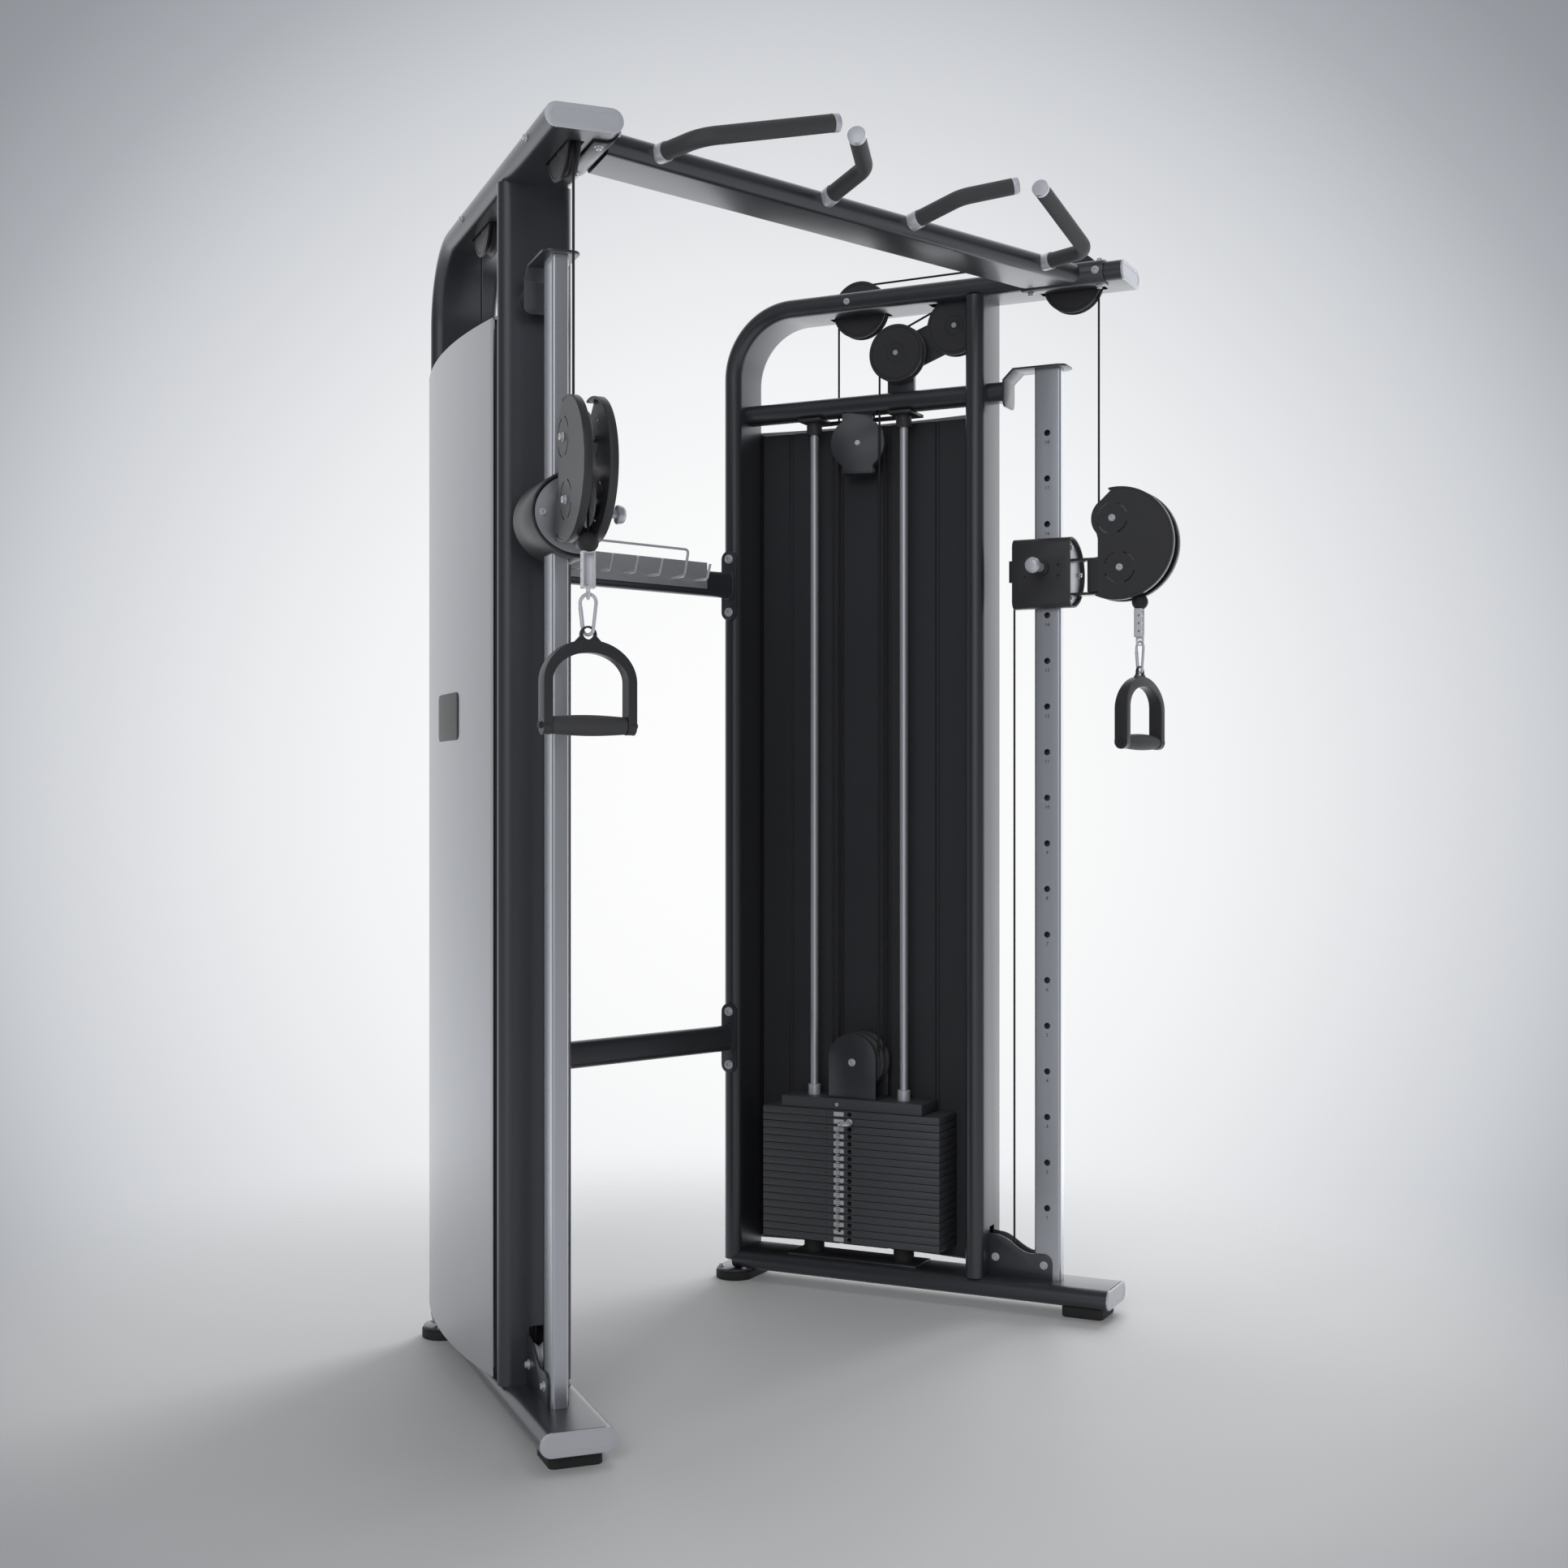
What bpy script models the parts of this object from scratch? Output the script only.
"""Dual-tower cable crossover machine: two mirrored weight towers, splayed outwards to the front, joined by
two rear beams and a pull-up bar. Metres, +Z up, the front faces -Y, the origin is at the middle of the base.

Each tower is drawn once, in its own frame: s runs forwards from the rear upright's axis, t runs outwards,
z runs up. The left tower is the mirror image of the right one."""

import math

import bmesh
import bpy
from mathutils import Matrix, Vector

# ---------------------------------------------------------------- driving dimensions
GAP = 0.0003  # between pieces that touch
RUN = 0.0008  # sliding and running clearance

SPLAY = math.radians(21.2)  # each tower turns out by this angle
REAR_HALF_SPACING = 0.392  # middle plane to a rear upright's axis
FRONT_TO_ORIGIN = 0.48147  # moves the machine so that the origin is at the middle of its box

TUBE_WIDTH = 0.136  # flat-oval frame tube
TUBE_DEPTH = 0.043
TUBE_WALL = 0.003
BEND_RADIUS = 0.150  # at the tube's centre line, rear upright to top arm
FOOT_HEIGHT = 0.025
ARM_Z = 2.254  # centre of the top arm
BASE_LENGTH = 0.910  # rear upright's axis to the base tube's front end
ARM_LENGTH = 0.942
UPRIGHT_S = 0.602  # centre of the front upright

CROSSBAR_Z = 2.025
CROSSBAR_WIDTH, CROSSBAR_DEPTH = 0.066, 0.043
CABLE_R = 0.0024

ROD_SPACING = 0.225
STACK_S = 0.2985  # centre of the weight stack
ROD_R = 0.0095
PLATE_LENGTH = 0.440
PLATE_WIDTH = 0.104
PLATE_PITCH = 0.0168
PLATE_COUNT = 18
LIFTED_COUNT = 2  # plates above the selector pin, and the one it is in
STACK_BOTTOM = 0.108
HEAD_LENGTH = 0.350
HEAD_WIDTH = 0.092
HEAD_THICK = 0.0255
STEM_R = 0.012
PIN_R = 0.005

SHEAVE_R = 0.0655  # large pulleys: rim, and the circle that the cable's centre follows
SHEAVE_PITCH_R = 0.057
SHEAVE_HALF = 0.0125
LANE = 0.016  # the cable's two lanes on the stack, either side of the tower's plane
CROSS_PITCH_R = math.hypot(SHEAVE_PITCH_R, LANE)  # the pulley that leads it from lane to lane
REAR_MID_PITCH_R = 0.045
SMALL_R = 0.0385  # pulley at the foot of the column
SMALL_PITCH_R = 0.033
AXLE_R = 0.006

TOP_PULLEY_Z = 2.249
FRONT_TOP_S = 0.813
STACK_PULLEY_Z = 0.520
CROSS_RIM_R = 0.0630
CROSSBAR_PULLEY_Z = 1.9385
REAR_MID = (0.403, 2.133)  # s, z
FRONT_MID = (0.545, 2.180)
BASE_PULLEY = (0.6435, 0.108)

COLUMN_REAR, COLUMN_FRONT = 0.7275, 0.7875
COLUMN_HALF = 0.015
COLUMN_WALL = 0.003
COLUMN_TOP = 2.066
HOLE_R = 0.007
HOLE_COUNT = 18
HOLE_PITCH = 0.100
HOLE_TOP_Z = 1.925
PARKED_HOLE = 3  # counted from the top, from 0

TROLLEY_REAR, TROLLEY_FRONT = 0.687, 0.820
TROLLEY_HALF_Z = 0.077
TROLLEY_INNER, TROLLEY_OUTER = -0.047, 0.060  # t of its flat sides
SWIVEL_S = FRONT_TOP_S + SHEAVE_PITCH_R  # the falling cable is the swivel's axis
HINGE_HALF_Z = 0.034  # half the height of the swivel's knuckle
TAB_THICK = 0.006

DISH_HALF = 0.029  # half the swivel housing's thickness
DISH_WALL = 0.003
DISH_GAP_HALF = 0.0145  # half the opening that the cable leaves through
DISH_R = 0.122
SWIVEL_PULLEY_R = 0.045
SWIVEL_PITCH_R = 0.0375
SWIVEL_PULLEY_DROP = 0.107  # upper to lower pulley
SWIVEL_PULLEY_STEP = 0.0165

BALL_R = 0.0175
LINK_LENGTH = 0.061
LINK_WIDTH = 0.022
HOOK_LENGTH = 0.076  # carabiner
HOOK_WIDTH = 0.036
HOOK_WIRE = 0.003
HANDLE_WIDTH = 0.162
HANDLE_DROP = 0.153  # eye to grip
HANDLE_TWIST = {"right": math.radians(-13.6), "left": math.radians(-4.4)}  # each handle hangs a little turned
HOOK_TURN = math.radians(45)
GRIP_LENGTH = 0.132
GRIP_R = 0.0175

BEAM_HEIGHT, BEAM_DEPTH = 0.060, 0.030
BEAM_Z = {"upper_beam": 1.620, "lower_beam": 0.564}
FLANGE_HEIGHT = 0.164
FLANGE_THICK = 0.006
PULL_BAR_Y = -0.750
GRIP_TUBE_R = 0.0155
HOOK_COUNT = 8

# ---------------------------------------------------------------- places that follow from them
HALF_W = TUBE_WIDTH / 2
HALF_D = TUBE_DEPTH / 2
BASE_Z = FOOT_HEIGHT + HALF_D
BASE_TOP = FOOT_HEIGHT + TUBE_DEPTH
STACK_TOP = STACK_BOTTOM + PLATE_COUNT * PLATE_PITCH
RESTING_TOP = STACK_TOP - LIFTED_COUNT * PLATE_PITCH
HEAD_Z = STACK_TOP + GAP
PIN_Z = RESTING_TOP + PLATE_PITCH / 2 + GAP
RODS = (STACK_S - ROD_SPACING / 2, STACK_S + ROD_SPACING / 2)
REAR_TOP_S = STACK_S
KNOB_Z = HOLE_TOP_Z - PARKED_HOLE * HOLE_PITCH
TROLLEY_Z = KNOB_Z - 0.010
TAIL_Z = TROLLEY_Z - 0.014  # underside of the trolley's tail, which holds the cable's end
KNOB_S = (COLUMN_REAR + COLUMN_FRONT) / 2
LOWER_CABLE_S = BASE_PULLEY[0] + SMALL_PITCH_R
HINGE_Z = TROLLEY_Z - 0.009
SWIVEL_UPPER = (SWIVEL_S + SWIVEL_PITCH_R, HINGE_Z + 0.122)
SWIVEL_LOWER = (SWIVEL_UPPER[0] + SWIVEL_PULLEY_STEP, SWIVEL_UPPER[1] - SWIVEL_PULLEY_DROP)
DISH_CENTRE = (SWIVEL_UPPER[0] + 0.013, SWIVEL_UPPER[1] - 0.055)
BALL_S = SWIVEL_LOWER[0] + SWIVEL_PITCH_R
BALL_Z = DISH_CENTRE[1] - math.sqrt(DISH_R**2 - (BALL_S - DISH_CENTRE[0]) ** 2) - 0.0112
EYE_Z = BALL_Z - 0.149
GRIP_Z = EYE_Z - HANDLE_DROP
RACK_Y = -HALF_W * math.sin(SPLAY)  # the beams' centre, before the origin moves

COLOURS = {  # name: colour, roughness, metallic
    "frame_paint": ((0.045, 0.046, 0.052), 0.42, 0.35),
    "cover_silver": ((0.46, 0.47, 0.50), 0.38, 0.55),
    "panel_black": ((0.016, 0.016, 0.018), 0.55, 0.1),
    "chrome": ((0.62, 0.63, 0.66), 0.14, 1.0),
    "plate_grey": ((0.040, 0.041, 0.046), 0.5, 0.3),
    "plastic_black": ((0.018, 0.018, 0.020), 0.42, 0.0),
    "rubber_black": ((0.014, 0.014, 0.015), 0.75, 0.0),
    "steel_satin": ((0.50, 0.51, 0.54), 0.30, 1.0),
    "cable_black": ((0.010, 0.010, 0.011), 0.5, 0.0),
}


# ---------------------------------------------------------------- mesh tools
def new_object(name, mesh):
    piece = bpy.data.objects.new(name, mesh)
    bpy.context.scene.collection.objects.link(piece)
    return piece


def loft(name, loops, ring=False):
    """Closed body through loops of equal length; ring joins the last loop to the first, without caps."""
    bm = bmesh.new()
    rows = [[bm.verts.new(point) for point in loop] for loop in loops]
    pairs = list(zip(rows, rows[1:]))
    if ring:
        pairs.append((rows[-1], rows[0]))
    for low, high in pairs:
        for i in range(len(low)):
            j = (i + 1) % len(low)
            bm.faces.new((low[i], low[j], high[j], high[i]))
    if not ring:
        bm.faces.new(rows[0])
        bm.faces.new(rows[-1])
    bmesh.ops.recalc_face_normals(bm, faces=bm.faces)
    mesh = bpy.data.meshes.new(name)
    bm.to_mesh(mesh)
    bm.free()
    return new_object(name, mesh)


def at(s, t, z):
    """A point of the tower's frame in the object's local frame."""
    return Vector((t, -s, z))


def placed(plane, u, v, w):
    if plane == "sz":
        return at(u, w, v)
    if plane == "tz":
        return at(w, u, v)
    return at(v, u, w)


def prism(outline, plane, low, high, name="piece"):
    """Outline in plane sz, tz or ts, pushed from low to high along the third direction."""
    return loft(name, [[placed(plane, u, v, w) for u, v in outline] for w in (low, high)])


def box(s0, s1, t0, t1, z0, z1):
    return prism([(s0, z0), (s1, z0), (s1, z1), (s0, z1)], "sz", t0, t1)


def arc(cu, cv, radius, start, end, steps):
    turn = [math.radians(start + (end - start) * i / steps) for i in range(steps + 1)]
    return [(cu + radius * math.cos(a), cv + radius * math.sin(a)) for a in turn]


def circle(cu, cv, radius, sides):
    return arc(cu, cv, radius, 0, 360, sides)[:-1]


def stadium(cu, cv, width, height, steps=4):
    """Rounded on its two short sides: wide along u, or tall along v."""
    if width >= height:
        reach = (width - height) / 2
        right = arc(cu + reach, cv, height / 2, -90, 90, steps)
        return right + arc(cu - reach, cv, height / 2, 90, 270, steps)
    reach = (height - width) / 2
    top = arc(cu, cv + reach, width / 2, 0, 180, steps)
    return top + arc(cu, cv - reach, width / 2, 180, 360, steps)


def rounded(u0, u1, v0, v1, radius, steps=3):
    corners = ((u1, v0, -90), (u1, v1, 0), (u0, v1, 90), (u0, v0, 180))
    points = []
    for u, v, start in corners:
        inner_u = u - radius if u == u1 else u + radius
        inner_v = v - radius if v == v1 else v + radius
        points += arc(inner_u, inner_v, radius, start, start + 90, steps)
    return points


def turned(profile, s, t, z, axis="t", sides=14, bore=False):
    """Profile of (place along the axis, radius), turned about an axis through s, t, z."""
    loops = []
    for along, radius in profile:
        loop = []
        for u, v in circle(0, 0, radius, sides):
            if axis == "t":
                loop.append(at(s + u, t + along, z + v))
            elif axis == "s":
                loop.append(at(s + along, t + u, z + v))
            else:
                loop.append(at(s + u, t + v, z + along))
        loops.append(loop)
    return loft("turned", loops, ring=bore)


def rod(s, t, z, axis, low, high, radius, sides=10):
    return turned([(low, radius), (high, radius)], s, t, z, axis, sides)


def sweep(points, radius, sides=8, flatten=None):
    """Round bar along 3-D points, in the object's local frame."""
    loops = []
    side = None
    for i, point in enumerate(points):
        before = points[max(i - 1, 0)]
        after = points[min(i + 1, len(points) - 1)]
        heading = (after - before).normalized()
        if side is None:
            side = heading.orthogonal().normalized()
        side = (side - heading * side.dot(heading)).normalized()
        other = heading.cross(side)
        stretch = 1.0
        if 0 < i < len(points) - 1:
            first = (point - before).normalized()
            second = (after - point).normalized()
            stretch = 1 / math.cos(first.angle(second) / 2)
            bend = (second - first)
        else:
            bend = Vector()
        loop = []
        for u, v in circle(0, 0, radius, sides):
            offset = side * u + other * v
            if bend.length > 1e-6:
                unit = bend.normalized()
                offset += unit * offset.dot(unit) * (stretch - 1)
            loop.append(point + offset)
        loops.append(loop)
    return loft("bar", loops)


def combine(target, others, operation):
    """One exact Boolean of target with all the others together, which are used up."""
    bm = bmesh.new()
    for other in others:
        bm.from_mesh(other.data)
        mesh = other.data
        bpy.data.objects.remove(other)
        bpy.data.meshes.remove(mesh)
    mesh = bpy.data.meshes.new("tool")
    bm.to_mesh(mesh)
    bm.free()
    tool = new_object("tool", mesh)
    step = target.modifiers.new("step", "BOOLEAN")
    step.operation = operation
    step.solver = "EXACT"
    step.use_self = True
    step.object = tool
    bpy.context.view_layer.update()
    graph = bpy.context.evaluated_depsgraph_get()
    result = bpy.data.meshes.new_from_object(target.evaluated_get(graph))
    target.modifiers.clear()
    old = target.data
    target.data = result
    bpy.data.meshes.remove(old)
    bpy.data.objects.remove(tool)
    bpy.data.meshes.remove(mesh)
    return target


def join(target, *others):
    return combine(target, others, "UNION")


def cut(target, *others):
    return combine(target, others, "DIFFERENCE")


def paint(piece, colour):
    material = bpy.data.materials.get(colour)
    if material is None:
        tint, roughness, metallic = COLOURS[colour]
        material = bpy.data.materials.new(colour)
        material.use_nodes = True
        shader = material.node_tree.nodes["Principled BSDF"]
        shader.inputs["Base Color"].default_value = (*tint, 1)
        shader.inputs["Roughness"].default_value = roughness
        shader.inputs["Metallic"].default_value = metallic
    piece.data.materials.clear()
    piece.data.materials.append(material)
    piece.data.shade_smooth()
    piece.data.set_sharp_from_angle(angle=math.radians(35))


# ---------------------------------------------------------------- frame
def ribbon(width, depth, start_z, end_s):
    """Rear upright, bend and top arm as one bent flat-oval bar, width across t."""
    path = [(0, start_z, 90)]
    centre_s, centre_z = BEND_RADIUS, ARM_Z - BEND_RADIUS
    for i in range(7):
        a = math.radians(180 - 15 * i)
        place = (centre_s + BEND_RADIUS * math.cos(a), centre_z + BEND_RADIUS * math.sin(a))
        path.append((*place, 90 - 15 * i))
    path.append((end_s, ARM_Z, 0))
    loops = []
    for s, z, heading in path:
        a = math.radians(heading + 90)
        loops.append([
            at(s + v * math.cos(a), u, z + v * math.sin(a)) for u, v in stadium(0, 0, width, depth)
        ])
    return loft("ribbon", loops)


def mid_pulley_plate():
    """Plate behind the two middle pulleys, on a post on the crossbar."""
    low, high = -LANE + SHEAVE_HALF + 0.004, -LANE + SHEAVE_HALF + 0.008
    plate = prism(circle(*REAR_MID, 0.052, 14), "sz", low, high)
    web = [(REAR_MID[0] + 0.02, REAR_MID[1] - 0.030), (FRONT_MID[0] - 0.01, FRONT_MID[1] - 0.034),
           (FRONT_MID[0] - 0.02, FRONT_MID[1] + 0.030), (REAR_MID[0] + 0.01, REAR_MID[1] + 0.034)]
    post = box(REAR_MID[0] - 0.010, REAR_MID[0] + 0.034, low - 0.002, high + 0.002, CROSSBAR_Z, REAR_MID[1])
    axles = [rod(s, 0, z, "t", -LANE - SHEAVE_HALF - 0.004, high - 0.001, AXLE_R) for s, z in (REAR_MID, FRONT_MID)]
    return join(plate, prism(circle(*FRONT_MID, 0.050, 14), "sz", low + 0.0002, high - 0.0002),
                prism(web, "sz", low + 0.0001, high - 0.0001), post, *axles)


def crossbar_pulley_bracket():
    """Two plates with a closed lower lip, turned so that the pulley leads the cable from lane to lane."""
    z = CROSSBAR_PULLEY_Z
    low, high = SHEAVE_HALF + 0.003, SHEAVE_HALF + 0.007
    plates = []
    for sign in (-1, 1):
        near, far = sorted((sign * low, sign * high))
        plates.append(prism(circle(0, z, 0.061, 14), "sz", near, far))
        neck = [(-0.0357, z - 0.066), (0.0357, z - 0.066), (0.0357, CROSSBAR_Z - 0.005), (-0.0357, CROSSBAR_Z - 0.005)]
        plates.append(prism(neck, "sz", near + 0.0001, far - 0.0001))
    lip = box(-0.0355, 0.0355, -high + 0.0002, high - 0.0002, z - 0.069, z - 0.0648)
    axle = rod(0, 0, z, "t", -high - 0.002, high + 0.002, AXLE_R)
    bracket = join(plates[0], *plates[1:], lip, axle)
    bracket.data.transform(skew())
    return bracket


def skew():
    """Turn of the crossbar pulley about the vertical through the stack's centre."""
    angle = math.atan2(LANE, SHEAVE_PITCH_R)
    return Matrix.Translation(at(STACK_S, 0, 0)) @ Matrix.Rotation(angle, 4, "Z")


def column_top_bracket():
    """Folded plate from the crossbar's end up and over the column's top."""
    low, high = CROSSBAR_Z - 0.052, COLUMN_TOP + GAP
    thick = 0.005
    outer = [(0.660, low), (0.660, high - 0.018), (0.684, high + thick), (COLUMN_FRONT + 0.016, high + thick)]
    inner = [(COLUMN_FRONT + 0.016, high), (0.687, high), (0.660 + thick, high - 0.020), (0.660 + thick, low)]
    return prism(outer + inner, "sz", -0.034, 0.034)


def base_cheek(near, far):
    """One cheek plate at the column's foot; its top edge falls in a wave from the upright to the column."""
    front = COLUMN_FRONT + 0.016
    wave = [(UPRIGHT_S, 0.160)]
    for i in range(7):
        share = i / 6
        wave.append((0.645 + 0.075 * share, 0.142 + 0.017 * math.cos(math.pi * share)))
    nose = arc(front - 0.016, 0.106, 0.016, 80, 0, 3)
    return prism([(UPRIGHT_S, BASE_TOP - 0.002), *wave, *nose, (front, BASE_TOP - 0.002)], "sz", near, far)


def side_frame():
    """Welded frame: base, rear upright with top arm, front upright, crossbar and the brackets welded to them."""
    frame = ribbon(TUBE_WIDTH, TUBE_DEPTH, FOOT_HEIGHT + GAP, ARM_LENGTH)
    base = prism(stadium(0, BASE_Z, TUBE_WIDTH, TUBE_DEPTH), "tz", 0.006, BASE_LENGTH)
    upright = prism(stadium(0, UPRIGHT_S, TUBE_WIDTH, TUBE_DEPTH), "ts", BASE_TOP - 0.002, ARM_Z - HALF_D + 0.002)
    crossbar = prism(stadium(0, CROSSBAR_Z, CROSSBAR_WIDTH, CROSSBAR_DEPTH), "tz", 0.010, 0.6625)
    seat = box(STACK_S - 0.160, STACK_S + 0.160, -0.045, 0.045, BASE_TOP - 0.002, BASE_TOP + 0.004)
    cheeks = [base_cheek(-0.0196, -0.0156), base_cheek(0.0156, 0.0196)]
    join(frame, base, upright, crossbar, seat, column_top_bracket(), *cheeks)
    inner_w, inner_d = TUBE_WIDTH - 2 * TUBE_WALL, TUBE_DEPTH - 2 * TUBE_WALL
    hollow = [
        ribbon(inner_w, inner_d, BASE_TOP + 0.010, ARM_LENGTH + 0.01),
        prism(stadium(0, BASE_Z, inner_w, inner_d), "tz", 0.030, BASE_LENGTH + 0.01),
        prism(stadium(0, UPRIGHT_S, inner_w, inner_d), "ts", BASE_TOP + 0.003, ARM_Z - HALF_D - 0.003),
    ]
    slot_half = SHEAVE_HALF + 0.003
    reach = math.sqrt(SHEAVE_R**2 - HALF_D**2) + 0.012
    wheel_slots = [
        box(FRONT_TOP_S - reach, FRONT_TOP_S + reach, -slot_half, slot_half, ARM_Z - 0.04, ARM_Z + 0.04),
        box(REAR_TOP_S - reach, REAR_TOP_S + reach, LANE - slot_half, LANE + slot_half, ARM_Z - 0.04, ARM_Z + 0.04),
        box(FRONT_MID[0] - 0.060, UPRIGHT_S, -LANE - slot_half, -LANE + slot_half, 2.105, ARM_Z - 0.004),
        box(UPRIGHT_S, UPRIGHT_S + 0.04, -0.0146, 0.0146, BASE_TOP + 0.0035, 0.172),
    ]
    for lane, s in ((LANE, STACK_S - SHEAVE_PITCH_R), (-LANE, STACK_S + SHEAVE_PITCH_R)):
        wheel_slots.append(box(s - 0.008, s + 0.008, lane - 0.008, lane + 0.008, CROSSBAR_Z - 0.03, CROSSBAR_Z + 0.03))
    cut(frame, *hollow, *wheel_slots)
    side_reach = HALF_W - 0.0034
    axles = [
        rod(FRONT_TOP_S, 0, TOP_PULLEY_Z, "t", -side_reach, side_reach, AXLE_R),
        rod(REAR_TOP_S, 0, TOP_PULLEY_Z, "t", -side_reach, side_reach, AXLE_R),
        rod(BASE_PULLEY[0], 0, BASE_PULLEY[1], "t", -0.024, 0.024, AXLE_R),
    ]
    return join(frame, mid_pulley_plate(), crossbar_pulley_bracket(), *axles)


def side_cover():
    """Sheet shell on the outer side, bowed in plan."""
    rear, front, bow, thick = 0.004, 0.572, 0.026, 0.0025
    outer, inner = [], []
    for i in range(11):
        share = i / 10
        s = rear + (front - rear) * share
        t = 0.0705 - 0.003 * share + bow * (1 - (2 * share - 1) ** 2)
        outer.append((t + thick, s))
        inner.append((t, s))
    return prism(outer + inner[::-1], "ts", BASE_TOP + 0.004, CROSSBAR_Z - 0.026)


def inner_panel():
    """Black sheet pan behind the guide rods."""
    rear, front = HALF_D + 0.003, UPRIGHT_S - HALF_D - 0.003
    low, high = BASE_TOP + 0.012, CROSSBAR_Z - 0.038
    outline = [(0.0575, rear), (0.0575, front), (0.0660, front), (0.0660, front - 0.002), (0.0595, front - 0.002),
               (0.0595, rear + 0.002), (0.0660, rear + 0.002), (0.0660, rear)]
    return prism(outline, "ts", low, high)


# ---------------------------------------------------------------- weight stack
def guide_rods():
    """Two chromed rods in their top plate, with the rubber rings that the stack rests on."""
    top = CROSSBAR_Z - CROSSBAR_DEPTH / 2 - GAP
    low = BASE_TOP + 0.004 + GAP
    ring_top = STACK_BOTTOM - GAP
    shafts = []
    for s in RODS:
        profile = [(low, 0.023), (ring_top, 0.023), (ring_top, ROD_R), (top - 0.036, ROD_R),
                   (top - 0.036, 0.018), (top - 0.008, 0.018), (top - 0.008, ROD_R), (top - 0.004, ROD_R)]
        shafts.append(turned(profile, s, 0, 0, "z"))
    pads = [box(s - 0.028, s + 0.028, -0.030, 0.050, top - 0.008, top) for s in RODS]
    strip = box(RODS[0], RODS[1], 0.034, 0.0498, top - 0.0078, top - 0.0002)
    return join(pads[0], pads[1], strip, *shafts)


def plate_block(bottom, count, length, width):
    """Stacked plates, each a little smaller than its pitch, as one comb-sided block."""
    half, groove = width / 2, 0.0012
    right = []
    for i in range(count):
        low = bottom + i * PLATE_PITCH
        high = low + PLATE_PITCH
        right += [(half, low + (groove if i else 0)), (half, high - (groove if i < count - 1 else 0))]
        if i < count - 1:
            right.append((half - 0.003, high))
    left = [(-t, z) for t, z in reversed(right)]
    return prism(right + left, "tz", STACK_S - length / 2, STACK_S + length / 2)


def rod_bores(low, high, stem=True):
    bores = [rod(s, 0, 0, "z", low, high, ROD_R + 0.0012) for s in RODS]
    if stem:
        bores.append(rod(STACK_S, 0, 0, "z", low, high, STEM_R + 0.0012))
    return bores


def resting_plates():
    block = plate_block(STACK_BOTTOM, PLATE_COUNT - LIFTED_COUNT, PLATE_LENGTH, PLATE_WIDTH)
    return cut(block, *rod_bores(STACK_BOTTOM - 0.01, STACK_TOP))


def lifted_plates():
    block = plate_block(RESTING_TOP + GAP, LIFTED_COUNT, PLATE_LENGTH, PLATE_WIDTH)
    for point in block.data.vertices:
        if point.co.z > STACK_TOP - 0.001:
            point.co.z = STACK_TOP
    pin_hole = rod(STACK_S, 0, PIN_Z, "t", -PLATE_WIDTH, 0.030, PIN_R + RUN)
    return cut(block, *rod_bores(RESTING_TOP - 0.01, STACK_TOP + 0.01), pin_hole)


def head_plate():
    """Top plate with the pulley's D-shaped cheeks, rod collars and the selector stem below."""
    s0, s1 = STACK_S - HEAD_LENGTH / 2, STACK_S + HEAD_LENGTH / 2
    top = HEAD_Z + HEAD_THICK
    head = box(s0, s1, -HEAD_WIDTH / 2, HEAD_WIDTH / 2, HEAD_Z, top)
    parts = []
    for near, far in ((-0.0375, -0.0335), (0.0335, 0.0375)):
        dome = arc(STACK_S, 0.5275, 0.0585, 0, 180, 10)
        parts.append(prism([(STACK_S + 0.0585, top - 0.002), *dome, (STACK_S - 0.0585, top - 0.002)], "sz", near, far))
    parts += [rod(s, 0, 0, "z", top - 0.002, top + 0.024, 0.0145) for s in RODS]
    parts.append(rod(STACK_S, 0, STACK_PULLEY_Z, "t", -0.0395, 0.0395, AXLE_R))
    parts.append(rod(STACK_S, 0, 0, "z", STACK_BOTTOM + 0.02, HEAD_Z + 0.002, STEM_R))
    join(head, *parts)
    pin_hole = rod(STACK_S, 0, PIN_Z, "t", -0.03, 0.03, PIN_R + RUN)
    return cut(head, *rod_bores(HEAD_Z - 0.001, top + 0.03, stem=False), pin_hole)


def selector_pin():
    """Pin with a flat ring handle."""
    face = -PLATE_WIDTH / 2
    shaft = rod(STACK_S, 0, PIN_Z, "t", face - 0.012, 0.028, PIN_R, 12)
    ring = turned([(-0.003, 0.0105), (-0.003, 0.0165), (0.003, 0.0165), (0.003, 0.0105)],
                  STACK_S, face - 0.027, PIN_Z, "z", 16, bore=True)
    return join(shaft, ring)


# ---------------------------------------------------------------- pulleys and cable
def pulley(s, t, z, rim, pitch, half=SHEAVE_HALF, sides=16):
    bore = AXLE_R + RUN
    steepness = math.hypot(half, rim - pitch + 3 * CABLE_R) / half
    floor = pitch - (CABLE_R + 0.0008) * steepness
    profile = [(-half, bore), (-half, rim), (0, floor), (half, rim), (half, bore)]
    return turned(profile, s, t, z, "t", sides, bore=True)


def stack_sheaves():
    """Two grooves side by side on one axle."""
    bore, floor = AXLE_R + RUN, SHEAVE_PITCH_R - 2 * CABLE_R
    half = LANE + SHEAVE_HALF
    profile = [(-half, bore), (-half, SHEAVE_R), (-LANE, floor), (0, SHEAVE_R), (LANE, floor),
               (half, SHEAVE_R), (half, bore)]
    return turned(profile, STACK_S, 0, STACK_PULLEY_Z, "t", 16, bore=True)


def crossbar_pulley():
    wheel = pulley(0, 0, CROSSBAR_PULLEY_Z, CROSS_RIM_R, CROSS_PITCH_R)
    wheel.data.transform(skew())
    return wheel


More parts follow.
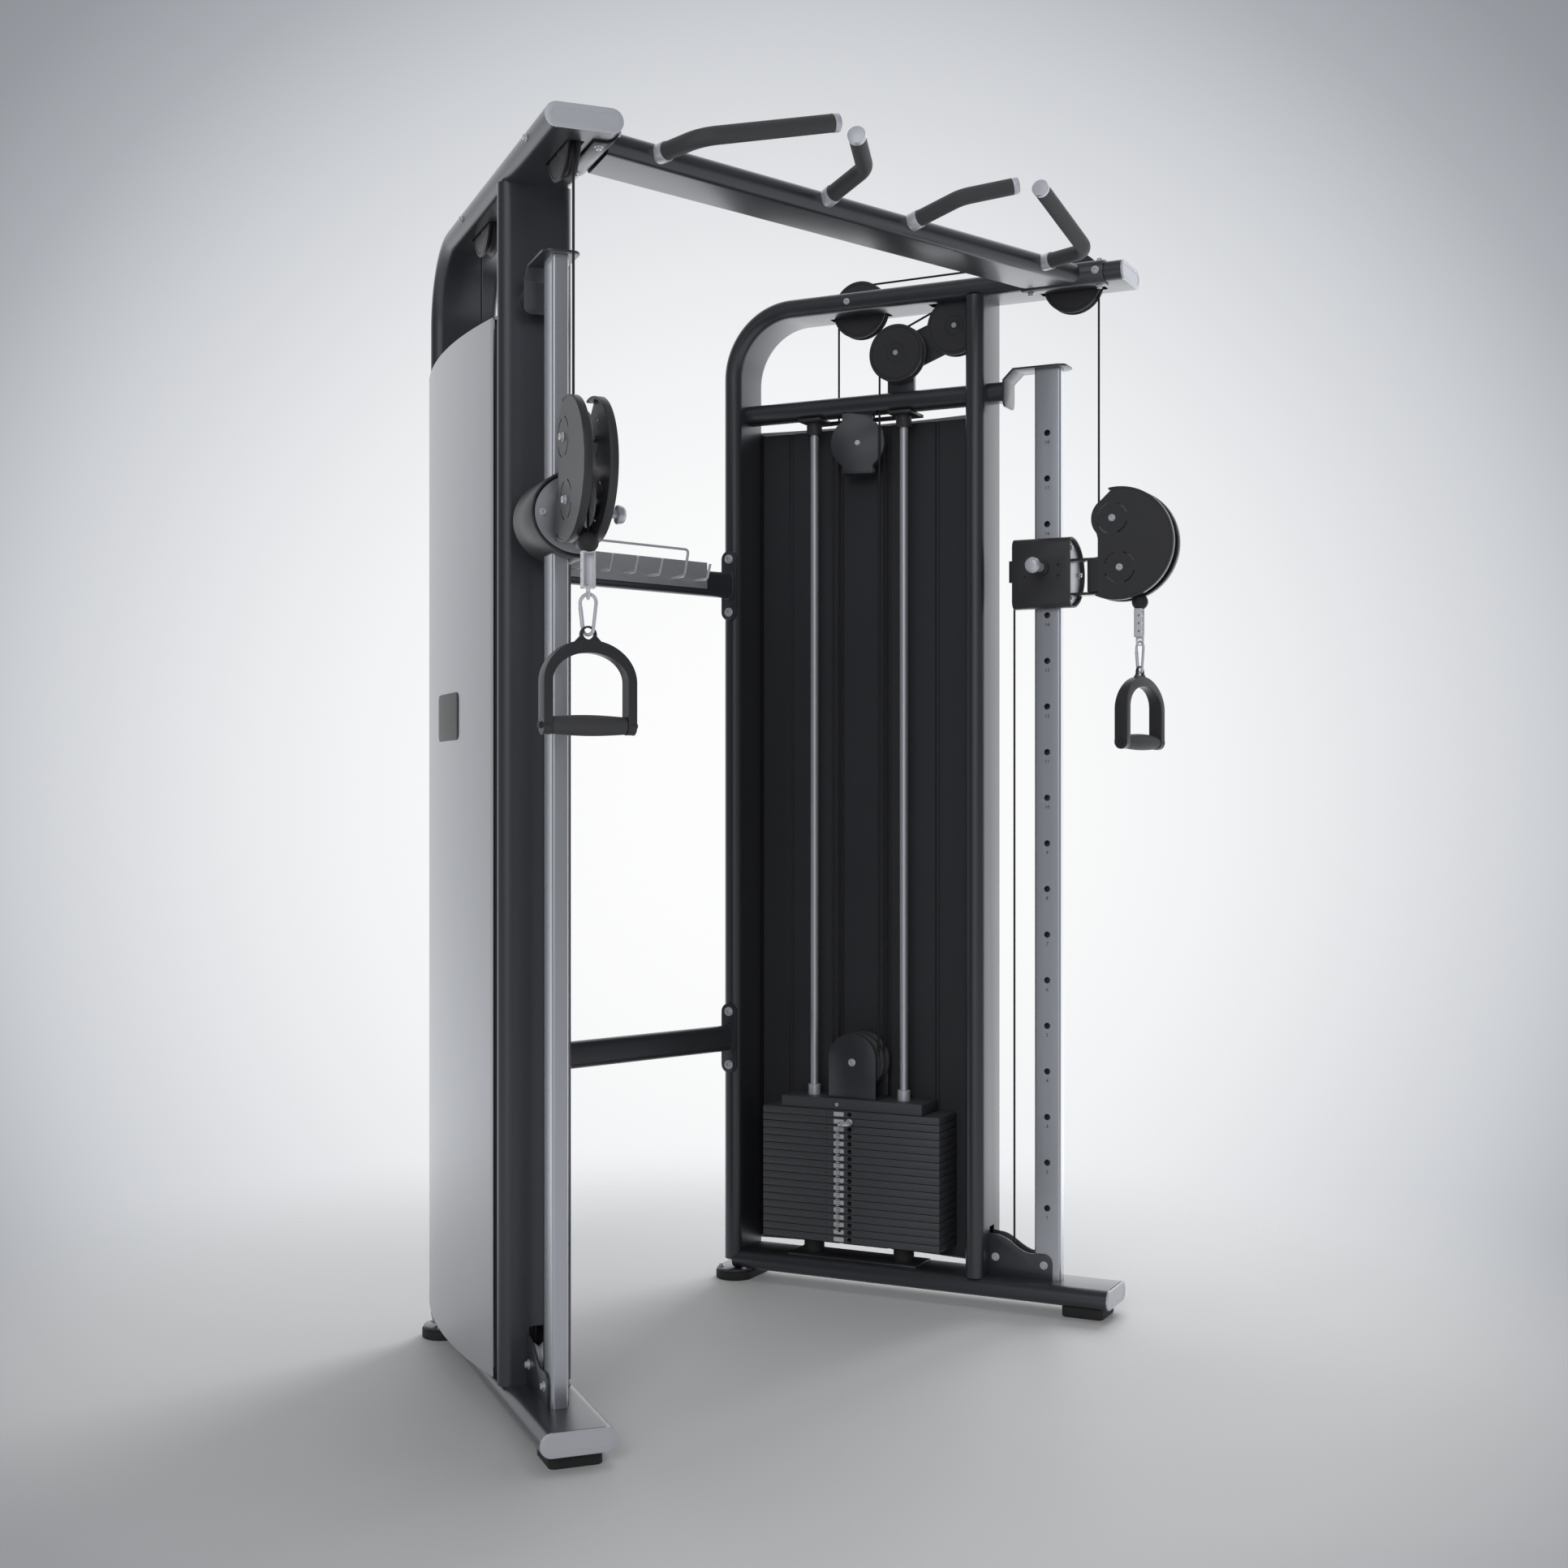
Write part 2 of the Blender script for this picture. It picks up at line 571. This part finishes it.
def wrap(s, z, radius, start, end, t=0.0, steps=4):
    """Cable around a pulley, on the polygon outside the pitch circle."""
    step = (end - start) / steps
    outside = radius / math.cos(math.radians(step / 2))
    points = [(start, radius)]
    points += [(start + step * (i + 0.5), outside) for i in range(steps)]
    points.append((end, radius))
    return [at(s + r * math.cos(math.radians(a)), t, z + r * math.sin(math.radians(a))) for a, r in points]


def mid_tangent():
    """Direction, in degrees, of the cable's outer tangent points on the two middle pulleys."""
    ds, dz = FRONT_MID[0] - REAR_MID[0], FRONT_MID[1] - REAR_MID[1]
    lean = math.asin((SHEAVE_PITCH_R - REAR_MID_PITCH_R) / math.hypot(ds, dz))
    return math.degrees(math.atan2(dz, ds)) + 90 + math.degrees(lean)


def cable():
    """One cable: down to the swivel, over the top pulleys, four falls on the stack, and back to the trolley."""
    turn = mid_tangent()
    over = []
    for i in range(9):
        a = math.radians(180 * i / 8)
        stretch = 1.0 if i in (0, 8) else 1.02
        across = math.cos(a) * stretch
        over.append(at(STACK_S + SHEAVE_PITCH_R * across, LANE * across,
                       CROSSBAR_PULLEY_Z + CROSS_PITCH_R * stretch * math.sin(a)))
    points = [at(SWIVEL_S, 0, SWIVEL_UPPER[1] + 0.002)]
    points += wrap(FRONT_TOP_S, TOP_PULLEY_Z, SHEAVE_PITCH_R, 0, 90)
    points += wrap(REAR_TOP_S, TOP_PULLEY_Z, SHEAVE_PITCH_R, 90, 180, LANE)
    points += wrap(STACK_S, STACK_PULLEY_Z, SHEAVE_PITCH_R, 180, 360, LANE, 6)
    points += over
    points += wrap(STACK_S, STACK_PULLEY_Z, SHEAVE_PITCH_R, 180, 360, -LANE, 6)
    points += wrap(*REAR_MID, REAR_MID_PITCH_R, 180, turn, -LANE, 3)
    points += wrap(*FRONT_MID, SHEAVE_PITCH_R, turn, 0, -LANE)
    points += wrap(*BASE_PULLEY, SMALL_PITCH_R, 180, 360, 0, 6)
    points.append(at(LOWER_CABLE_S, 0, TAIL_Z - GAP))
    data = bpy.data.curves.new("cable", "CURVE")
    data.dimensions = "3D"
    spline = data.splines.new("POLY")
    spline.points.add(len(points) - 1)
    for knot, point in zip(spline.points, points):
        knot.co = (*point, 1)
    data.bevel_depth = CABLE_R
    data.bevel_resolution = 1
    data.use_fill_caps = True
    route = new_object("cable", data)
    bpy.context.view_layer.update()
    graph = bpy.context.evaluated_depsgraph_get()
    mesh = bpy.data.meshes.new_from_object(route.evaluated_get(graph))
    bpy.data.objects.remove(route)
    bm = bmesh.new()
    bm.from_mesh(mesh)
    bmesh.ops.remove_doubles(bm, verts=bm.verts, dist=1e-5)
    bmesh.ops.recalc_face_normals(bm, faces=bm.faces)
    bm.to_mesh(mesh)
    bm.free()
    return new_object("cable", mesh)


# ---------------------------------------------------------------- column, trolley and swivel
def column():
    outer = rounded(-COLUMN_HALF, COLUMN_HALF, COLUMN_REAR, COLUMN_FRONT, 0.005, 2)
    body = prism(outer, "ts", BASE_TOP + GAP, COLUMN_TOP)
    wall = COLUMN_WALL
    inner = rounded(-COLUMN_HALF + wall, COLUMN_HALF - wall, COLUMN_REAR + wall, COLUMN_FRONT - wall, 0.003, 1)
    holes = [rod(KNOB_S, 0, HOLE_TOP_Z - i * HOLE_PITCH, "t", -0.03, -0.005, HOLE_R, 8) for i in range(HOLE_COUNT)]
    return cut(body, prism(inner, "ts", 0, COLUMN_TOP + 0.01), *holes)


def trolley():
    """D-section sleeve on the column, with the swivel's two tabs and its pin in front."""
    half, r = TROLLEY_HALF_Z, 0.014
    inner, outer = TROLLEY_INNER, TROLLEY_OUTER
    outline = arc(inner + r, half - r, r, 90, 180, 3) + arc(inner + r, -half + r, r, 180, 270, 3)
    outline += [(0.004, -half), (0.024, -half + 0.008), (outer - 0.006, -0.034), (outer, -0.022),
                (outer, 0.022), (outer - 0.006, 0.034), (0.024, half - 0.008), (0.004, half)]
    body = prism([(t, z + TROLLEY_Z) for t, z in outline], "tz", TROLLEY_REAR, TROLLEY_FRONT)
    parts = []
    for sign in (-1, 1):
        near = HINGE_Z + sign * (HINGE_HALF_Z + GAP)
        far = near + sign * TAB_THICK
        nose = arc(0, SWIVEL_S, 0.015, 0, 180, 6)
        tab = [(0.015, TROLLEY_FRONT - 0.004), *nose, (-0.015, TROLLEY_FRONT - 0.004)]
        parts.append(prism(tab, "ts", min(near, far), max(near, far)))
    reach = HINGE_HALF_Z + TAB_THICK + 0.002
    parts.append(rod(SWIVEL_S, 0, HINGE_Z, "z", -reach, reach, AXLE_R, 12))
    parts.append(box(LOWER_CABLE_S - 0.010, TROLLEY_REAR + 0.004, -0.008, 0.008, TAIL_Z, TAIL_Z + 0.048))
    parts.append(rod(KNOB_S, 0, KNOB_Z, "t", inner - 0.010, inner + 0.002, 0.0145))
    join(body, *parts)
    way = box(COLUMN_REAR - RUN, COLUMN_FRONT + RUN, -COLUMN_HALF - RUN, COLUMN_HALF + RUN,
              TROLLEY_Z - 0.1, TROLLEY_Z + 0.1)
    return cut(body, way, rod(KNOB_S, 0, KNOB_Z, "t", inner - 0.02, 0, PIN_R + RUN, 12))


def pop_pin():
    """Spring pin with a turned pull knob."""
    tip = -COLUMN_HALF - RUN / 4
    face = TROLLEY_INNER - 0.010
    profile = [(tip, PIN_R), (face - 0.006, PIN_R), (face - 0.0075, 0.0110), (face - 0.034, 0.0110),
               (face - 0.036, 0.0080), (face - 0.049, 0.0080), (face - 0.051, 0.0168), (face - 0.058, 0.0175),
               (face - 0.064, 0.0150), (face - 0.068, 0.0080)]
    return turned(profile, KNOB_S, 0, KNOB_Z, "t")


def dish_outline(grow=0.0):
    """Side view of the swivel housing: a big arc in front, a lobe around the upper pulley, a straight back."""
    s, z = DISH_CENTRE
    radius = DISH_R + grow
    lobe = 0.047 + grow
    back = SWIVEL_S + 0.006 - grow
    front = arc(s, z, radius, -112, 97, 12)
    top = arc(*SWIVEL_UPPER, lobe, 128, 222, 4)
    return front + top + [(back, top[-1][1] - 0.012), (back, HINGE_Z - HINGE_HALF_Z - 0.010)]


def swivel_housing():
    """Two dished halves on their axles and the knuckle that turns between the trolley's tabs."""
    parts = []
    for sign in (-1, 1):
        near, far = sorted((sign * (DISH_HALF - DISH_WALL), sign * DISH_HALF))
        parts.append(prism(dish_outline(), "sz", near, far))
        s, z = DISH_CENTRE
        low, high = sorted((sign * DISH_GAP_HALF, sign * (DISH_HALF - 0.0004)))
        rim = arc(s, z, DISH_R - 0.0004, -108, 96, 12) + arc(s, z, DISH_R - 0.006, 96, -108, 12)
        parts.append(prism(rim, "sz", low, high))
    block = box(SWIVEL_S - 0.020, SWIVEL_S + 0.016, -DISH_HALF + 0.0006, DISH_HALF - 0.0006,
                HINGE_Z - HINGE_HALF_Z, HINGE_Z + HINGE_HALF_Z)
    room = SWIVEL_PULLEY_R + 0.0018
    cut(block, rod(SWIVEL_LOWER[0], 0, SWIVEL_LOWER[1], "t", -0.0138, 0.0138, room, 24))
    axles = [rod(s, 0, z, "t", -DISH_HALF - 0.004, DISH_HALF + 0.004, AXLE_R) for s, z in (SWIVEL_UPPER, SWIVEL_LOWER)]
    housing = join(parts[0], *parts[1:], block, *axles)
    corner = SWIVEL_S - 0.020
    bevels = []
    for sign in (-1, 1):
        edge = sign * DISH_HALF
        wedge = [(edge * 1.2, corner - 0.005), (edge * 1.2, corner + 0.010), (edge * 0.5, corner - 0.005)]
        bevels.append(prism(wedge, "ts", HINGE_Z - 0.1, HINGE_Z + 0.1))
    bore = rod(SWIVEL_S, 0, HINGE_Z, "z", -0.1, 0.1, AXLE_R + RUN, 12)
    return cut(housing, bore, *bevels)


def swivel_pulley(place):
    return pulley(place[0], 0, place[1], SWIVEL_PULLEY_R, SWIVEL_PITCH_R, 0.0120)


# ---------------------------------------------------------------- cable end and handle
def hook_turn():
    """The carabiner hangs turned between the link's flange and the handle's eye."""
    return Matrix.Translation(at(BALL_S, 0, 0)) @ Matrix.Rotation(HOOK_TURN, 4, "Z")


def cable_end():
    """Stop ball, channel link and the link's tongue, which holds the carabiner."""
    steps = 8
    profile = []
    for i in range(steps + 1):
        a = math.radians(-78 + 156 * i / steps)
        profile.append((BALL_R * math.sin(a), BALL_R * math.cos(a)))
    ball = turned(profile, BALL_S, 0, BALL_Z, "z")
    top = BALL_Z - BALL_R + 0.003
    low = top - LINK_LENGTH
    half = LINK_WIDTH / 2
    web = box(BALL_S - half, BALL_S - half + 0.0025, -half, half, low, top)
    flanges = [box(BALL_S - half, BALL_S + half - 0.004, t - 0.0012, t + 0.0012, low, top) for t in (-half, half)]
    roof = box(BALL_S - half + 0.0002, BALL_S + half - 0.0042, -half, half, top - 0.003, top - 0.0002)
    tongue = box(BALL_S - 0.009, BALL_S + 0.009, -0.0013, 0.0013, low - 0.019, low + 0.006)
    floor = box(BALL_S - half + 0.0003, BALL_S + half - 0.0043, -half, half, low + 0.0002, low + 0.003)
    link = join(ball, web, *flanges, roof, floor, tongue)
    return cut(link, rod(BALL_S, 0, low - 0.0105, "t", -0.01, 0.01, 0.0062, 12))


def hook_top():
    return BALL_Z - BALL_R + 0.003 - LINK_LENGTH - 0.0105 + HOOK_WIRE + 0.0006


def carabiner():
    """Pear-shaped wire ring, wide at the link, narrow in the handle's eye."""
    wide = HOOK_WIDTH / 2 - HOOK_WIRE
    narrow = 0.0098
    top = hook_top() - HOOK_WIRE - wide
    low = EYE_Z + narrow - 0.0035
    points = [Vector((x, 0, top + z)) for x, z in arc(0, 0, wide, -10, 190, 10)]
    points += [Vector((x, 0, low + z)) for x, z in arc(0, 0, narrow, 190, 350, 8)]
    loops = []
    count = len(points)
    for i, point in enumerate(points):
        heading = (points[(i + 1) % count] - points[i - 1]).normalized()
        across = Vector((heading.z, 0, -heading.x))
        loops.append([point + across * u + Vector((0, v, 0)) for u, v in circle(0, 0, HOOK_WIRE, 8)])
    ring = loft("carabiner", loops, ring=True)
    ring.data.transform(hook_turn())
    return ring


def handle_yoke():
    """Stirrup: eye, flat arch at the top, arms that turn edge-on towards the grip."""
    half = HANDLE_WIDTH / 2
    spring_z = EYE_Z - 0.012 - half * 0.86
    loops = []
    for i in range(13):
        a = math.radians(180 * i / 12)
        share = abs(math.cos(a))
        thick = 0.0095 - 0.005 * share
        deep = 0.0065 + 0.008 * share
        loops.append((-(half - thick) * math.cos(a), spring_z + (half * 0.86 - thick) * math.sin(a), a, thick, deep))
    bottom = GRIP_Z - 0.004
    first, last = loops[0], loops[-1]
    path = [(first[0], bottom, 0.0, first[3], 0.015)] + loops + [(last[0], bottom, math.pi, last[3], 0.015)]
    sections = []
    for t, z, a, thick, deep in path:
        out = Vector((-math.cos(a), 0, math.sin(a)))
        centre = at(BALL_S, t, z)
        section = []
        for u, v in rounded(-thick, thick, -deep, deep, 0.003, 1):
            section.append(centre + out * u + Vector((0, v, 0)))
        sections.append(section)
    yoke = loft("yoke", sections)
    feet = [rod(BALL_S, 0, GRIP_Z, "t", sign * (half - 0.0045) - 0.0044, sign * (half - 0.0045) + 0.0044, 0.0160)
            for sign in (-1, 1)]
    boss = prism(circle(0, EYE_Z - 0.0035, 0.0148, 16), "tz", BALL_S - 0.0026, BALL_S + 0.0026)
    neck = prism([(-0.024, EYE_Z - 0.020), (0.024, EYE_Z - 0.020), (0.0142, EYE_Z - 0.006), (-0.0142, EYE_Z - 0.006)],
                 "tz", BALL_S - 0.0027, BALL_S + 0.0027)
    axle = rod(BALL_S, 0, GRIP_Z, "t", -half + 0.004, half - 0.004, 0.005, 12)
    join(yoke, *feet, boss, neck, axle)
    return cut(yoke, prism(circle(0, EYE_Z - 0.0015, 0.0095, 12), "tz", BALL_S - 0.02, BALL_S + 0.02))


def handle_grip():
    """Barrel grip, free to turn on the yoke's axle."""
    profile = [(-GRIP_LENGTH / 2, 0.005 + RUN), (-GRIP_LENGTH / 2, 0.0135)]
    profile += [(GRIP_LENGTH * (i / 6 - 0.5) * 0.96, 0.0145 + (GRIP_R - 0.0145) * math.sin(math.pi * i / 6)) for i in range(7)]
    profile += [(GRIP_LENGTH / 2, 0.0135), (GRIP_LENGTH / 2, 0.005 + RUN)]
    return turned(profile, BALL_S, 0, GRIP_Z, "t", 16, bore=True)


# ---------------------------------------------------------------- feet
def front_foot():
    outline = rounded(-0.0475, 0.0475, BASE_LENGTH - 0.111, BASE_LENGTH - 0.018, 0.010, 3)
    return prism(outline, "ts", 0, FOOT_HEIGHT - GAP)


def rear_foot():
    return prism(stadium(0, 0.0, 0.172, 0.090, 8), "ts", 0, FOOT_HEIGHT)


# ---------------------------------------------------------------- pieces shared by both towers
def world(x, y, z):
    return Vector((x, y, z))


def tower_cutter(sign, t_from):
    """Everything outside t_from of one tower, as a block."""
    block = prism([(-0.4, -0.1), (1.4, -0.1), (1.4, 3), (-0.4, 3)], "sz", t_from, 0.6)
    block.data.transform(Matrix.Translation((REAR_HALF_SPACING, 0, 0)) @ Matrix.Rotation(SPLAY, 4, "Z"))
    if sign < 0:
        mirror(block.data)
    return block


def mirror(mesh):
    mesh.transform(Matrix.Scale(-1, 4, (1, 0, 0)))
    mesh.flip_normals()


def to_tower(piece, sign):
    piece.data.transform(Matrix.Translation((REAR_HALF_SPACING, 0, 0)) @ Matrix.Rotation(SPLAY, 4, "Z"))
    if sign < 0:
        mirror(piece.data)
    return piece


def bar_along_x(outline, half_length):
    """Outline of (y, z) pushed along X, both ways."""
    return loft("bar", [[world(x, y, z) for y, z in outline] for x in (-half_length, half_length)])


def rear_beam(z):
    """Beam between the rear uprights, with a bolted flange at each end."""
    face = -HALF_W - GAP
    beam = bar_along_x(stadium(RACK_Y, z, BEAM_DEPTH, BEAM_HEIGHT, 4), 0.40)
    beam = cut(beam, *[tower_cutter(sign, face - FLANGE_THICK / 2) for sign in (-1, 1)])
    flanges = []
    for sign in (-1, 1):
        plate = prism(stadium(0, z, 0.040, FLANGE_HEIGHT, 4), "sz", face - FLANGE_THICK, face)
        flanges.append(to_tower(plate, sign))
    return join(beam, *flanges)


def hook_rack():
    """Strip on the upper beam's front with hooks for spare handles and a wire rail above."""
    z = BEAM_Z["upper_beam"]
    front = RACK_Y - BEAM_DEPTH / 2 - GAP
    strip_half = 0.285
    low, high = z - 0.014, z + 0.046
    outline = [(front, low), (front, high), (front - 0.003, high), (front - 0.003, low)]
    strip = bar_along_x(outline, strip_half)
    hooks = []
    for i in range(HOOK_COUNT):
        x = strip_half * (2 * (i + 0.5) / HOOK_COUNT - 1)
        path = [world(x, front - 0.001, z + 0.026), world(x, front - 0.018, z + 0.014),
                world(x + 0.004, front - 0.034, z + 0.006), world(x + 0.010, front - 0.046, z + 0.012),
                world(x + 0.014, front - 0.054, z + 0.032)]
        hooks.append(sweep(path, 0.003, 6))
    rail_z = z + 0.062
    rail = [world(-0.24, front - 0.001, high - 0.008), world(-0.24, front - 0.030, high - 0.004),
            world(-0.235, front - 0.060, rail_z), world(0.235, front - 0.060, rail_z),
            world(0.24, front - 0.030, high - 0.004), world(0.24, front - 0.001, high - 0.008)]
    return join(strip, *hooks, sweep(rail, 0.003, 6))


def pull_up_bar():
    """Flat-oval bar between the top arms, its saddles around the arms' inner sides, and four bent grips."""
    bar = bar_along_x(stadium(PULL_BAR_Y, ARM_Z, TUBE_WIDTH, TUBE_DEPTH), 0.75)
    bar = cut(bar, *[tower_cutter(sign, -HALF_W - 0.002) for sign in (-1, 1)])
    saddles = []
    for sign in (-1, 1):
        centre = -HALF_W + HALF_D
        outer, inner = HALF_D + 0.0045, HALF_D + GAP
        curve = arc(centre, ARM_Z, outer, 90, 270, 8)
        hollow = arc(centre, ARM_Z, inner, 270, 90, 8)
        reach = centre + 0.020
        outline = [(reach, ARM_Z + outer), *curve, (reach, ARM_Z - outer),
                   (reach, ARM_Z - inner), *hollow, (reach, ARM_Z + inner)]
        saddles.append(to_tower(prism(outline, "tz", 0.712, 0.900), sign))
    grips = []
    for sign in (-1, 1):
        outer = [(0.521, -0.790, 2.254), (0.521, -0.905, 2.256), (0.510, -0.932, 2.260), (0.485, -0.948, 2.267),
                 (0.274, -1.008, 2.318)]
        inner = [(0.115, -0.790, 2.256), (0.126, -0.906, 2.280), (0.138, -0.928, 2.286), (0.220, -0.999, 2.312)]
        for path in (outer, inner):
            grips.append(sweep([world(sign * x, y, z) for x, y, z in path], GRIP_TUBE_R, 12))
    bar = join(bar, *saddles, *grips)
    return cut(bar, *[tower_channel(sign) for sign in (-1, 1)])


def tower_channel(sign):
    """The space that a top arm fills, for what wraps around it."""
    outline = stadium(0, ARM_Z, TUBE_WIDTH + 2 * GAP, TUBE_DEPTH + 2 * GAP)
    return to_tower(prism(outline, "tz", 0.5, 1.1), sign)


# ---------------------------------------------------------------- assembly
TOWER_PIECES = (
    ("frame", side_frame, "frame_paint"),
    ("side_cover", side_cover, "cover_silver"),
    ("inner_panel", inner_panel, "panel_black"),
    ("guide_rods", guide_rods, "chrome"),
    ("resting_plates", resting_plates, "plate_grey"),
    ("lifted_plates", lifted_plates, "plate_grey"),
    ("head_plate", head_plate, "plate_grey"),
    ("stack_sheaves", stack_sheaves, "plastic_black"),
    ("selector_pin", selector_pin, "steel_satin"),
    ("column", column, "chrome"),
    ("base_pulley", lambda: pulley(BASE_PULLEY[0], 0, BASE_PULLEY[1], SMALL_R, SMALL_PITCH_R), "plastic_black"),
    ("trolley", trolley, "plastic_black"),
    ("pop_pin", pop_pin, "steel_satin"),
    ("swivel_housing", swivel_housing, "plastic_black"),
    ("swivel_pulley_upper", lambda: swivel_pulley(SWIVEL_UPPER), "plastic_black"),
    ("swivel_pulley_lower", lambda: swivel_pulley(SWIVEL_LOWER), "plastic_black"),
    ("cable_end", cable_end, "steel_satin"),
    ("carabiner", carabiner, "steel_satin"),
    ("handle_yoke", handle_yoke, "plastic_black"),
    ("handle_grip", handle_grip, "rubber_black"),
    ("front_top_pulley", lambda: pulley(FRONT_TOP_S, 0, TOP_PULLEY_Z, SHEAVE_R, SHEAVE_PITCH_R), "plastic_black"),
    ("rear_top_pulley", lambda: pulley(REAR_TOP_S, LANE, TOP_PULLEY_Z, SHEAVE_R, SHEAVE_PITCH_R), "plastic_black"),
    ("rear_mid_pulley", lambda: pulley(*REAR_MID[:1], -LANE, REAR_MID[1], SHEAVE_R, REAR_MID_PITCH_R), "plastic_black"),
    ("front_mid_pulley", lambda: pulley(FRONT_MID[0], -LANE, FRONT_MID[1], SHEAVE_R, SHEAVE_PITCH_R), "plastic_black"),
    ("crossbar_pulley", crossbar_pulley, "plastic_black"),
    ("cable", cable, "cable_black"),
    ("front_foot", front_foot, "rubber_black"),
    ("rear_foot", rear_foot, "rubber_black"),
)

SHARED_PIECES = (
    ("pull_up_bar", pull_up_bar, "frame_paint"),
    ("upper_beam", lambda: rear_beam(BEAM_Z["upper_beam"]), "frame_paint"),
    ("lower_beam", lambda: rear_beam(BEAM_Z["lower_beam"]), "frame_paint"),
    ("hook_rack", hook_rack, "steel_satin"),
)

# Moving pieces turn or slide about these points of the tower's frame.
PIVOTS = {
    "stack_sheaves": (STACK_S, 0, STACK_PULLEY_Z),
    "base_pulley": (BASE_PULLEY[0], 0, BASE_PULLEY[1]),
    "pop_pin": (KNOB_S, 0, KNOB_Z),
    "selector_pin": (STACK_S, 0, PIN_Z),
    "trolley": (KNOB_S, 0, TROLLEY_Z),
    "swivel_housing": (SWIVEL_S, 0, HINGE_Z),
    "swivel_pulley_upper": (SWIVEL_UPPER[0], 0, SWIVEL_UPPER[1]),
    "swivel_pulley_lower": (SWIVEL_LOWER[0], 0, SWIVEL_LOWER[1]),
    "cable_end": (BALL_S, 0, BALL_Z),
    "carabiner": (BALL_S, 0, hook_top()),
    "handle_yoke": (BALL_S, 0, EYE_Z),
    "handle_grip": (BALL_S, 0, GRIP_Z),
    "front_top_pulley": (FRONT_TOP_S, 0, TOP_PULLEY_Z),
    "rear_top_pulley": (REAR_TOP_S, LANE, TOP_PULLEY_Z),
    "rear_mid_pulley": (REAR_MID[0], -LANE, REAR_MID[1]),
    "front_mid_pulley": (FRONT_MID[0], -LANE, FRONT_MID[1]),
    "crossbar_pulley": (STACK_S, 0, CROSSBAR_PULLEY_Z),
    "head_plate": (STACK_S, 0, HEAD_Z),
}


def main():
    for old in list(bpy.data.objects):
        bpy.data.objects.remove(old, do_unlink=True)
    machine = new_object("machine", None)
    machine.location = (0, FRONT_TO_ORIGIN, 0)
    towers = {}
    for side, sign in (("left", -1), ("right", 1)):
        tower = new_object(side + "_tower", None)
        tower.parent = machine
        tower.location = (sign * REAR_HALF_SPACING, 0, 0)
        tower.rotation_euler = (0, 0, sign * SPLAY)
        towers[side] = tower
    for name, build, colour in TOWER_PIECES:
        piece = build()
        paint(piece, colour)
        pivot = at(*PIVOTS.get(name, (0, 0, 0)))
        piece.data.transform(Matrix.Translation(-pivot))
        twin = new_object("left_" + name, piece.data.copy())
        if name.startswith("handle_"):
            piece.data.transform(Matrix.Rotation(HANDLE_TWIST["right"], 4, "Z"))
            twin.data.transform(Matrix.Rotation(HANDLE_TWIST["left"], 4, "Z"))
        mirror(twin.data)
        piece.name = "right_" + name
        piece.parent = towers["right"]
        piece.location = pivot
        twin.parent = towers["left"]
        twin.location = (-pivot.x, pivot.y, pivot.z)
    for name, build, colour in SHARED_PIECES:
        piece = build()
        paint(piece, colour)
        piece.name = name
        piece.parent = machine


main()
